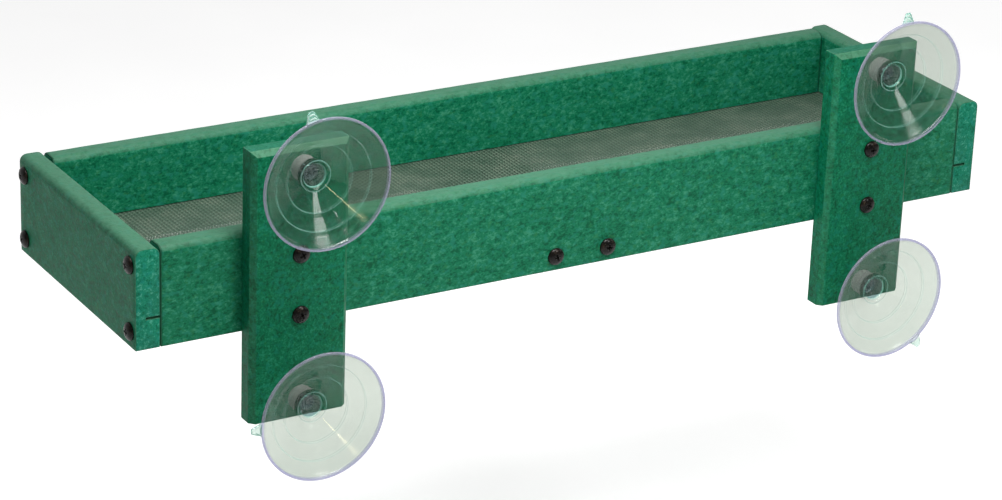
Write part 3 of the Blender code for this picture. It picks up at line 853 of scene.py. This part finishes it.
def stud_mesh(length):
    """Pan head with a cross recess, seen inside the neck, and a threaded shank to -length."""
    head = STUD_HEAD_RADIUS
    top = STUD_HEAD_TOP
    under = STUD_HEAD_UNDERSIDE
    crown = [(head * 0.98 * math.sin(a), top - 1.5 * MM * (1 - math.cos(a)))
             for a in (math.radians(84 * i / 10) for i in range(11))]
    profile = crown + [(head, top - 1.7 * MM), (head, under + 0.2 * MM), (head - 0.2 * MM, under),
                       (0.0, under)]
    recess = cross_recess(0.55 * MM, 2.3 * MM, 2.4 * MM, top + 0.3 * MM)
    mesh = cut_mesh(mesh_from(turned(profile, 48), "stud_head"), [recess])
    bm = bmesh.new()
    bm.from_mesh(mesh)
    steps = 24
    start = under + 0.3 * MM
    count = int((length + start) / THREAD_PITCH * 8)
    rings = []
    for k in range(count + 1):
        z = start - (length + start) * k / count
        ring = []
        for i in range(steps):
            angle = math.tau * i / steps
            turn = (z / THREAD_PITCH + i / steps) % 1.0
            groove = 1 - abs(2 * turn - 1)
            fade = min(1.0, (length + z) / (0.8 * MM))
            radius = STUD_RADIUS - THREAD_DEPTH * groove - 0.35 * MM * (1 - fade)
            ring.append(bm.verts.new((radius * math.cos(angle), radius * math.sin(angle), z)))
        rings.append(ring)
    close_rings(bm, rings)
    bm.faces.new(rings[0])
    bm.faces.new(rings[-1])
    return mesh_from(bm, "stud_mesh", smooth_below=50)


def nut_mesh(across_flats, height):
    """Hexagon nut with chamfered corners and hole edges."""
    flat = across_flats / 2
    steps = 72
    bm = bmesh.new()

    def hexagon(angle):
        return flat / math.cos((angle + math.pi / 6) % (math.pi / 3) - math.pi / 6)

    def ring(radius_of, height_of):
        return [bm.verts.new((radius_of(a) * math.cos(a), radius_of(a) * math.sin(a), height_of(a)))
                for a in (math.tau * i / steps for i in range(steps))]

    hole = STUD_RADIUS + 0.05 * MM
    half = height / 2
    drop = 0.5

    def corner_top(a):
        return half - max(0.0, hexagon(a) - flat * 0.97) * drop

    rings = [ring(lambda a: hole, lambda a: -half + 0.3 * MM),
             ring(lambda a: hole + 0.4 * MM, lambda a: -half),
             ring(lambda a: flat * 0.97, lambda a: -half),
             ring(hexagon, lambda a: -corner_top(a)),
             ring(hexagon, corner_top),
             ring(lambda a: flat * 0.97, lambda a: half),
             ring(lambda a: hole + 0.4 * MM, lambda a: half),
             ring(lambda a: hole, lambda a: half - 0.3 * MM)]
    close_rings(bm, rings + [rings[0]])
    return mesh_from(bm, "nut_mesh", smooth_below=25)


def washer_mesh(radius, thickness):
    """Flat washer with slightly rounded edges."""
    half = thickness / 2
    edge = 0.2 * MM
    profile = [(WASHER_HOLE, -half + edge), (WASHER_HOLE + edge, -half), (radius - edge, -half),
               (radius, -half + edge), (radius, half - edge), (radius - edge, half),
               (WASHER_HOLE + edge, half), (WASHER_HOLE, half - edge)]
    bm = bmesh.new()
    rings = []
    for r, z in profile:
        rings.append([bm.verts.new((r * math.cos(a), r * math.sin(a), z))
                      for a in (math.tau * i / 64 for i in range(64))])
    close_rings(bm, rings + [rings[0]])
    return mesh_from(bm, "washer_mesh", smooth_below=25)


def tab_direction(node, centre):
    """The direction of a cup's pull tab about its axis, from the CAD vertices furthest out."""
    offsets = [vert.co - centre for vert in frame["nodes"][node].data.vertices]
    furthest = max(Vector((o.x, o.z)).length for o in offsets)
    tips = [o for o in offsets if Vector((o.x, o.z)).length > furthest - 0.2 * MM]
    return math.atan2(sum(o.z for o in tips), sum(o.x for o in tips))


def make_cups():
    places = [(level, side) for level in ("upper", "lower") for side in ("left", "right")]
    cup = cup_mesh()
    stud = stud_mesh(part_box("cup_stud_upper_left")[1].y)
    nut_low, nut_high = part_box("cup_nut_upper_left")
    nut_flats = min(nut_high.x - nut_low.x, nut_high.z - nut_low.z)
    nut = nut_mesh(nut_flats, nut_high.y - nut_low.y)
    washer_low, washer_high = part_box("cup_washer_upper_left")
    washer = washer_mesh((washer_high.z - washer_low.z) / 2, washer_high.y - washer_low.y)
    face_window = Matrix.Rotation(math.radians(90), 4, "X")
    for level, side in places:
        where = level + "_" + side
        low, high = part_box("cup_stud_" + where)
        centre = Vector(((low.x + high.x) / 2, 0.0, (low.z + high.z) / 2))
        stand = Matrix.Translation(centre) @ face_window
        turned_cup = cup.copy()
        towards_tab = tab_direction("suction_cup_" + where, centre)
        turned_cup.transform(Matrix.Rotation(towards_tab, 4, "Z"))
        cup_node = "suction_cup_" + where
        add_piece(cup_node + "_pvc", turned_cup, (PVC,), cup_node, stand)
        spin = Matrix.Rotation(CHANCE.uniform(0, math.pi / 2), 4, "Z")
        add_piece("cup_stud_" + where + "_threaded", stud, (STEEL,), "cup_stud_" + where,
                  stand @ spin)
        for part, mesh in (("cup_nut_", nut), ("cup_washer_", washer)):
            part_low, part_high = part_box(part + where)
            back = Matrix.Translation(Vector((0, 0, -(part_low.y + part_high.y) / 2)))
            add_piece(part + where + "_turned", mesh, (STEEL,), part + where, stand @ back)


# ---------------------------------------------------------------- stage, lights, camera
def make_floor(height):
    bm = bmesh.new()
    bmesh.ops.create_grid(bm, x_segments=24, y_segments=24, size=6.0)
    floor = bpy.data.objects.new("floor", mesh_from(bm, "floor_mesh"))
    floor.location = (0, 0, height)
    floor.data.materials.append(pale_floor("pale_floor"))
    bpy.context.scene.collection.objects.link(floor)


def add_light(name, direction, distance, size, power, tint=(1, 1, 1), aim=Vector((0, 0.1, 0)), roll=0.0):
    """An area light at a distance from aim, turned to face it and rolled (degrees) about its own axis."""
    light = bpy.data.lights.new(name, "AREA")
    light.shape = "RECTANGLE"
    light.size, light.size_y = size
    light.energy = power
    light.color = tint
    lamp = bpy.data.objects.new(name, light)
    away = Vector(direction).normalized()
    lamp.location = aim + away * distance
    turn = away.to_track_quat("Z", "Y").to_matrix() @ Matrix.Rotation(math.radians(roll), 3, "Z")
    lamp.rotation_euler = turn.to_euler()
    bpy.context.scene.collection.objects.link(lamp)
    return lamp


def make_lights():
    low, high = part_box("cup_stud_upper_left")
    cup_face = Vector(((low.x + high.x) / 2, 0.0, (low.z + high.z) / 2))
    add_light("key_front_right", (0.474, -0.776, 0.55), 2.6, (0.55, 0.8), 13.6, aim=cup_face)
    add_light("warm_strip", (-0.156, -0.956, 0.246), 2.8, (0.05, 0.6), 2.4, (1.0, 0.84, 0.50), cup_face,
              roll=45)
    add_light("small_strip", (0.1075, -0.909, 0.402), 2.8, (0.04, 0.16), 0.5, aim=cup_face, roll=25)
    add_light("high_soft", (0.0, -0.40, 0.91), 0.8, (0.5, 0.5), 5.3)
    add_light("over_trough", (-0.3, -0.2, 0.93), 0.62, (0.3, 0.2), 3.6)
    add_light("far_right", (0.893, -0.157, 0.423), 2.6, (1.2, 1.2), 10)
    middle = add_light("middle_soft", (0.09, -0.765, 0.643), 0.66, (0.35, 0.35), 1.1)
    middle.visible_glossy = False
    world = bpy.data.worlds.new("studio")
    world.use_nodes = True
    tree = world.node_tree
    direction = add_node(tree, "ShaderNodeTexCoord").outputs["Generated"]
    parts = add_node(tree, "ShaderNodeSeparateXYZ", {"Vector": direction})
    behind = spread(tree, parts.outputs["Y"], -0.1, 0.7, FRONT_SKY, BACK_SKY)
    overhead = spread(tree, parts.outputs["Z"], 0.3, 0.95, 0.0, TOP_SKY)
    tree.links.new(maths(tree, "ADD", behind, overhead), tree.nodes["Background"].inputs["Strength"])
    tree.nodes["Background"].inputs["Color"].default_value = (1.0, 1.0, 1.0, 1.0)
    bpy.context.scene.world = world
    bpy.context.scene.view_settings.view_transform = "Standard"


def make_camera():
    data = bpy.data.cameras.new("camera")
    data.sensor_width = 36.0
    data.lens = 122.43
    data.clip_start = 0.05
    data.clip_end = 30.0
    camera = bpy.data.objects.new("camera", data)
    camera.location = (-1.0582, -1.6196, 0.7967)
    camera.rotation_euler = [math.radians(angle) for angle in (67.427, -2.024, -30.048)]
    bpy.context.scene.collection.objects.link(camera)
    bpy.context.scene.camera = camera


make_trough_boards()
make_brace()
for upright_side in ("left", "right"):
    make_upright(upright_side)
make_screen()
make_screws()
make_cups()
make_floor(CAD_BOX[0].z - FLOOR_DROP)
make_lights()
make_camera()
